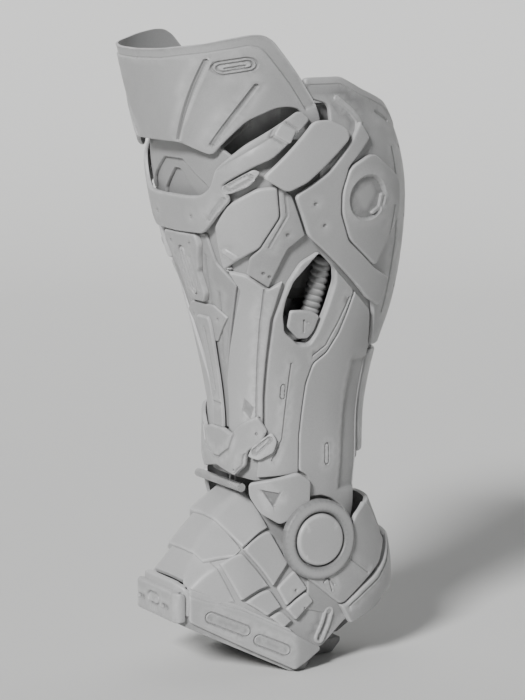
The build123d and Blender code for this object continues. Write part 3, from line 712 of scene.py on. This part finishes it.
# ---- dampers ---------------------------------------------------------------------------------
def dampers():
    top, foot = np.array(DAMPER_TOP), np.array(DAMPER_FOOT)
    along = foot - top
    length = np.linalg.norm(along)
    along = along / length
    across = np.cross(along, (1, 0, 0))
    across /= np.linalg.norm(across)
    third = np.cross(along, across)
    rings, around, ribs = 96, 28, 9
    profile = []
    for k in range(rings + 1):
        w = k / rings
        radius = 6.4 + 2.0 * (0.5 - 0.5 * cos(2 * pi * ribs * w)) ** 0.6
        profile.append((2.2 + w * (length - 3.0), radius))
    profile = [(profile[0][0], 4.6)] + profile + [(profile[-1][0], 4.6)]
    for side, name in ((1, "left"), (-1, "right")):
        vertices, faces = [], []
        for d, radius in profile:
            for j in range(around):
                k = 2 * pi * j / around
                p = top + along * d + (across * cos(k) + third * sin(k)) * radius
                vertices.append((side * p[0], p[1], p[2]))
        rows = len(profile)
        for r in range(rows):
            for j in range(around):
                a, b = r * around + j, r * around + (j + 1) % around
                c, d = ((r + 1) % rows) * around + j, ((r + 1) % rows) * around + (j + 1) % around
                faces.append((a, c, d, b) if side > 0 else (a, b, d, c))
        piece = mesh_object(f"damper_bellows_rib_{name}", vertices, faces, rubber_light, None)
        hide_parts(f"damper_bellows_{name}")
        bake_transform(piece)


# ---- foot ------------------------------------------------------------------------------------
def leaning(height, slope, rear):
    """A plate's height above the foot, which grows away from its rear edge."""
    return lambda u, y: height - slope * (y - rear)


def forefoot():
    first = [(0.5, -49), t(19, -49, 154), t(48, -40, 125), t(49, -66, 107), t(19, -79, 130), (0.5, -79)]
    second = [(0.5, -76), t(19, -76, 128), t(48, -66, 107), t(47, -73, 100), t(33, -95.5, 94),
              t(19, -99.5, 104), (0.5, -99.5)]
    third = [(0.5, -96), t(21, -96, 104), t(42, -86, 92), t(51, -73, 62), t(47, -92, 60), t(41, -110, 62),
             t(30, -113, 80), (0.5, -113)]
    pieces = plate("instep_lame_1", "foot", light, forefoot_surface, both_sides(first),
                   leaning(0.6, 0.11, -49), -1.5, edge=1.5, corner=1.5, cell=4)
    finish(pieces, "armour_light", "instep_plate_1")
    pieces = plate("instep_lame_2", "foot", light, forefoot_surface, both_sides(second),
                   leaning(-1.2, 0.15, -76), -3.5, edge=1.5, corner=1.5, cell=4)
    finish(pieces, "armour_light", "instep_plate_2")
    pieces = plate("instep_lame_3", "foot", light, forefoot_surface, both_sides(third), -2.2, -5.0,
                   edge=1.4, corner=1.5, cell=4)
    finish(pieces, "armour_light", "instep_plate_3")
    skin = [(0.5, -113.5), t(29, -113.5, 79), t(41, -112, 60), t(47, -99, 50), t(57, -66, 34),
            t(65, -25, 18), t(63, -5, 14), t(61, 6, 18), t(60, 20, 30), t(58, 33, 40), t(56, 33, 62),
            t(50, -10, 105), t(40, -16, 130), t(30, -50, 141), t(20, -50, 154), (0.5, -50)]
    rim = [t(61, 12, 47), t(61, 8, 36), t(61, 2, 25)]
    features = [("line", [t(50, -94, 62), t(56, -60, 47), t(62, -30, 33)], 1.4, -0.9),
                ("line", rim, 9.0, 1.6), ("line", rim, 4.0, -1.8)]
    pieces = plate("foot_skin", "foot", shell, forefoot_surface, both_sides(skin), -3.6, -6.0, edge=1.2,
                   corner=3, features=features + flipped_features(features))
    finish(pieces, "under_shell", "foot_shell")
    quads = [
        [(49, -66, 106), (50, -41, 124), (57, -26, 92), (55, -41, 73)],
        [(42, -86, 95), (49, -66, 104), (54, -44, 74), (52, -70, 63)],
        [(54, -67, 62), (56, -44, 72), (61, -34, 56), (60, -48, 49)],
        [(56, -38, 72), (58, -21, 86), (62, -9, 69), (61, -30, 56)],
        [(61, -31, 54), (62, -10, 67), (63, -4, 58), (62, -22, 43)],
        [(60, -46, 48), (61, -35, 53), (62, -25, 44), (61, -34, 38)],
    ]
    for index, corners in enumerate(quads):
        loop = [t(*corner) for corner in corners]
        features = []
        if index in (3, 4):
            middle = np.mean(np.array(loop), axis=0)
            features = screw(middle[0] + 3, middle[1] + 4, 1.4)
        pieces = plate(f"side_scale_{index}", "foot", light, forefoot_surface, loop, 0.9, -2.6, edge=1.5,
                       corner=2.4, cell=4, features=features, mirror=True)
        finish(pieces, "armour_light", *(["side_scales"] if index == 0 else []))


def slab(name, rows, thickness, material, features, edge=1.6, corner=2.0, mirror=True):
    """A flat-sided board along a path of (x, y, z low, z high) stations, with relief."""
    rows = np.array(rows, float)
    steps = np.r_[0, np.cumsum(np.hypot(*(np.diff(rows[:, :2], axis=0)).T))]

    def surface(a, b):
        x, y = (np.mean([np.interp(a + k, steps, rows[:, i]) for k in (-1.5, 0, 1.5)]) for i in (0, 1))
        return np.array((x, y, b))
    low = [(steps[k], rows[k, 2]) for k in range(len(rows))]
    high = [(steps[k], rows[k, 3]) for k in range(len(rows))]
    return plate(name, "foot", material, surface, low + high[::-1], 0.0, -thickness, edge=edge, corner=corner,
                 cell=4, gap=0.2, features=features, mirror=mirror)


def full_width(rows):
    """Stations across the whole front, from those of the +X half; the first is at the middle."""
    return [(-x, y, low, high) for x, y, low, high in rows[:0:-1]] + rows[1:]


def slot_ring(points, radius):
    return [("ring", (points, radius), 1.3, -1.3), ("line", points, 2 * radius - 2.4, -0.5)]


def sole():
    strip = [(40.5, -112, 47, 70), (54.5, -68, 23.5, 56), (67.8, -25, 1.8, 34), (65.5, -11, 8, 26),
             (62.5, 2, 15, 18.5)]
    features = slot_ring([(19, 50.5), (48, 38)], 4.6) + slot_ring([(60, 29.5), (82, 20)], 4.6)
    pieces = slab("side_bumper_board", strip, 5.0, shell, features, edge=2.2, corner=3)
    finish(pieces, "armour_shell", "side_bumpers")
    bumper = [(0.1, -123.6, 46.4, 72.6), (34, -123.6, 46.4, 72.6), (39.2, -120, 46.4, 72.6),
              (39.2, -113.2, 47, 71)]
    middle = 44.4      # along the bumper's path, a little to one side of its middle at 47.1
    features = [("ring", ([(middle - 6, 61), (middle + 6, 61)], 4.6), 1.4, -1.5)]
    for side in (1, -1):
        features += [("line", [(middle + side * 18, 58), (middle + side * 27, 58)], 4.0, -1.6)]
        features += [("line", [(middle + side * 34, 47), (middle + side * 34, 72)], 1.4, -0.9)]
    toe = [(0.1, -119.4, 58, 80), (28, -119.4, 58, 80), (37.6, -114, 52, 76), (39.2, -106, 50, 72)]
    welts = slab("toe_welt", full_width(toe), 5.0, light, [], edge=1.8, corner=2, mirror=False)
    welts += slab("side_welt", [(38.6, -111, 52, 76), (52.6, -68, 30, 59), (65.2, -27, 10, 36.5)], 4.0,
                  light, [], edge=1.5)
    finish(welts, "armour_light")
    pieces = slab("toe_bumper_cap", full_width(bumper), 8.0, shell, features, edge=2.0, corner=3,
                  mirror=False)
    finish(pieces, "armour_shell", "toe_bumper")


def heel():
    outline = [h(-14, 80)] + circle(0, ANKLE_Z, 34.2, h, 225, 45, 26)
    outline += [h(33, 120), h(38, 128), h(52, 138), h(59, 132), h(66, 118), h(76, 100), h(68, 82),
                h(44, 66), h(25, 53), h(20, 53)]
    mark = [("line", [h(6, 80), h(14, 71)], 1.8, -1.2), ("line", [h(9, 76), h(12, 66)], 1.8, -1.2),
            ("line", [h(4, 74), h(8, 79)], 1.8, -1.2), ("line", [h(30, 92), h(52, 76)], 1.4, -0.7)]
    pieces = plate("ankle_stirrup_outer", "foot", shell, heel_skin, outline, -0.2, -3.8, edge=1.8,
                   corner=3, holes=[circle(0, ANKLE_Z, 29, h)], features=mark, mirror=True)
    finish(pieces, "armour_shell", "ankle_stirrups")
    ring = plate("ankle_ring", "foot", shell, heel_skin, circle(0, ANKLE_Z, HUB_RADIUS, h), 2.8, -3.9,
                 edge=3.2, corner=0.4, cell=3, gap=0.1, holes=[circle(0, ANKLE_Z, 23.4, h)], mirror=True)
    finish(ring, "armour_shell")
    disc = circle(0, ANKLE_Z, 22.4, h, 0, 360, 44)
    pieces = plate("hub_disc_cap", "foot", light, heel_skin, disc, 2.9, -3.0, edge=3.6, corner=0.4,
                   gap=0.1, cell=4, mirror=True)
    finish(pieces, "armour_light", "hub_discs")
    cap = [h(33, 33), h(20, 52.5), h(26, 52.5), h(45, 65), h(61, 73), h(74, 84), h(82, 102)]
    low = [h(75, 54), h(55, 40)]
    loop = cap + [(BACK, 106)] + flipped(low + cap, BACK)[::-1] + [(BACK, 50)] + low
    marks = [("line", [h(30, 50), h(48, 61), h(64, 69), h(76, 80), h(84, 98)], 1.4, -1.0)]
    pieces = plate("heel_cap_outer", "foot", shell, heel_skin, loop, 0.8, -3.8, edge=2.2, corner=3,
                   features=marks)
    finish(pieces, "armour_shell", "heel_cap")
    cup = [h(-10, 50), h(-10, 136), h(14, 136), h(34, 110), h(50, 131), h(68, 138)]
    low = [h(84, 42), h(60, 36), h(30, 35), h(20, 41)]
    loop = cup + [(BACK, 140)] + flipped(low + cup, BACK)[::-1] + [(BACK, 44)] + low
    pieces = plate("heel_cup_skin", "foot", under_light, heel_skin, loop, -4.4, -8.4, edge=1.4, corner=3)
    finish(pieces, "under_shell", "heel_cup")


# ---- scene -----------------------------------------------------------------------------------
knee_guard()
upper_shank()
lower_shank()
dampers()
forefoot()
sole()
heel()
slots = {row["node"]: row["material_slot"] for row in frame["record"]["subparts"]}
for node, thing in frame["nodes"].items():
    thing.data.materials.clear()
    thing.data.materials.append(by_slot[slots[node]])


def studio():
    world = bpy.data.worlds.new("studio")
    bpy.context.scene.world = world
    world.use_nodes = True
    world.node_tree.nodes["Background"].inputs[0].default_value = (0.80, 0.82, 0.85, 1)
    world.node_tree.nodes["Background"].inputs[1].default_value = 0.13
    turn_sin, turn_cos = sin(CAMERA_AZIMUTH), cos(CAMERA_AZIMUTH)
    forward, aside = Vector((-turn_sin, turn_cos, 0)), Vector((turn_cos, turn_sin, 0))
    bend = [(2.5 + 2 * sin(k), 2 - 2 * cos(k)) for k in np.linspace(0.1, pi / 2, 14)]
    profile = [(-6.0, 0.0), (2.5, 0.0)] + bend + [(4.5, 8.0)]
    corners = [forward * d + aside * w + Vector((0, 0, z - 0.0005)) for d, z in profile for w in (-9, 9)]
    quads = [(2 * k, 2 * k + 1, 2 * k + 3, 2 * k + 2) for k in range(len(profile) - 1)]
    sweep = bpy.data.meshes.new("floor")
    sweep.from_pydata(corners, [], quads)
    for polygon in sweep.polygons:
        polygon.use_smooth = True
    floor = bpy.data.objects.new("floor", sweep)
    bpy.context.collection.objects.link(floor)
    pale = bpy.data.materials.new("pale_floor")
    pale.use_nodes = True
    pale.node_tree.nodes["Principled BSDF"].inputs["Base Color"].default_value = (0.72, 0.72, 0.71, 1)
    pale.node_tree.nodes["Principled BSDF"].inputs["Roughness"].default_value = 0.9
    floor.data.materials.append(pale)
    aim = Vector((0, 0, 0.28))
    suns = [("key", 36, 1.75, 2.4, 4.2, 0.22), ("fill", -70, 0.8, 2.4, 0.35, 0.5),
            ("rim", -135, 0.8, 2.4, 0.8, 0.4)]
    for name, azimuth, height, away, power, size in suns:
        light_data = bpy.data.lights.new(name, "SUN")
        light_data.energy, light_data.angle = power, size
        lamp = bpy.data.objects.new(name, light_data)
        bpy.context.collection.objects.link(lamp)
        angle = radians(azimuth)
        lamp.location = (away * sin(angle), -away * cos(angle), height)
        lamp.rotation_euler = (aim - lamp.location).to_track_quat("-Z", "Y").to_euler()
    data = bpy.data.cameras.new("camera")
    data.sensor_fit = "VERTICAL"
    data.angle = CAMERA_ANGLE
    camera = bpy.data.objects.new("camera", data)
    bpy.context.collection.objects.link(camera)
    camera.location = CAMERA_PLACE
    level = cos(CAMERA_DROP)
    look = Vector((-turn_sin * level, turn_cos * level, -sin(CAMERA_DROP)))
    camera.rotation_euler = look.to_track_quat("-Z", "Y").to_euler()
    bpy.context.scene.camera = camera


studio()
